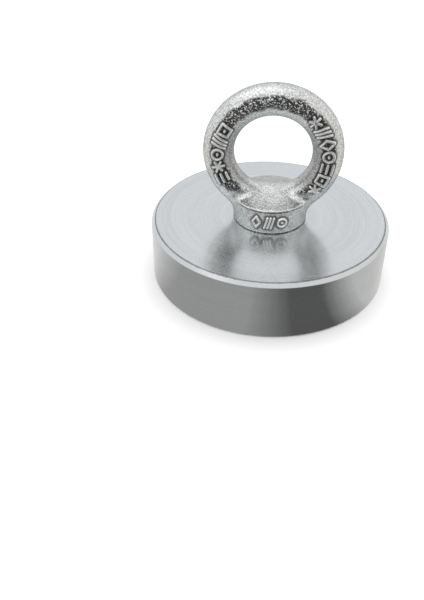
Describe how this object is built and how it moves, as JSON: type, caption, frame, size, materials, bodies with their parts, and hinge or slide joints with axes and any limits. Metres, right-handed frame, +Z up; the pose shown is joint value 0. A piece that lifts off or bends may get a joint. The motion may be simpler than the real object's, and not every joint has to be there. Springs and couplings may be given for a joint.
{
  "type": "magnet fishing magnet",
  "caption": "Round single-sided pot magnet with a forged lifting eye bolted through its back plate, for dragging steel out of water on a rope.",
  "frame": {"origin": "centre of the working face, on the plane that the magnet rests on", "axes": "+Z up through the shank and the eye, away from the working face; +X along the eye's ring; +Y through the eye's hole"},
  "size_m": [0.08, 0.08, 0.0665],
  "materials": {
    "casing_steel": "turned steel with bright plating: fine rings on the face, fine lines round the side",
    "nickel_plate": "satin nickel plating on the magnet",
    "adhesive": "clear amber adhesive",
    "resin": "black potting resin, poured and cured glossy",
    "zinc_forging": "drop-forged steel, bright zinc plated, smooth where trimmed and grainy where forged",
    "zinc_fastener": "bright zinc plated",
    "spring_steel": "zinc plated spring steel, duller"
  },
  "bodies": {
    "pot": {"pot_casing": "casing_steel", "pole_ring": "casing_steel", "ring_magnet": "nickel_plate", "magnet_adhesive": "adhesive", "outer_resin_seal": "resin", "inner_resin_seal": "resin"},
    "eyebolt": {"eye_bolt": "zinc_forging"},
    "washers": {"flat_washer": "zinc_fastener", "spring_washer": "spring_steel"},
    "nut": {"hex_nut": "zinc_fastener"}
  },
  "joints": [
    {"name": "eye_swivel", "type": "hinge", "parent": "pot", "child": "eyebolt", "pos_m": [0, 0, 0.0205], "axis": [0, 0, 1], "continuous": true},
    {"name": "washer_drop", "type": "slide", "parent": "eyebolt", "child": "washers", "axis": [0, 0, -1], "range_m": [0, 0.0083]},
    {"name": "nut_turn", "type": "hinge", "parent": "washers", "child": "nut", "pos_m": [0, 0, 0.0078], "axis": [0, 0, -1], "range_deg": [0, 1992]}
  ],
  "couplings": [
    {"joint": "washer_drop", "follows": "nut_turn", "m_per_rad": 0.00023873}
  ]
}
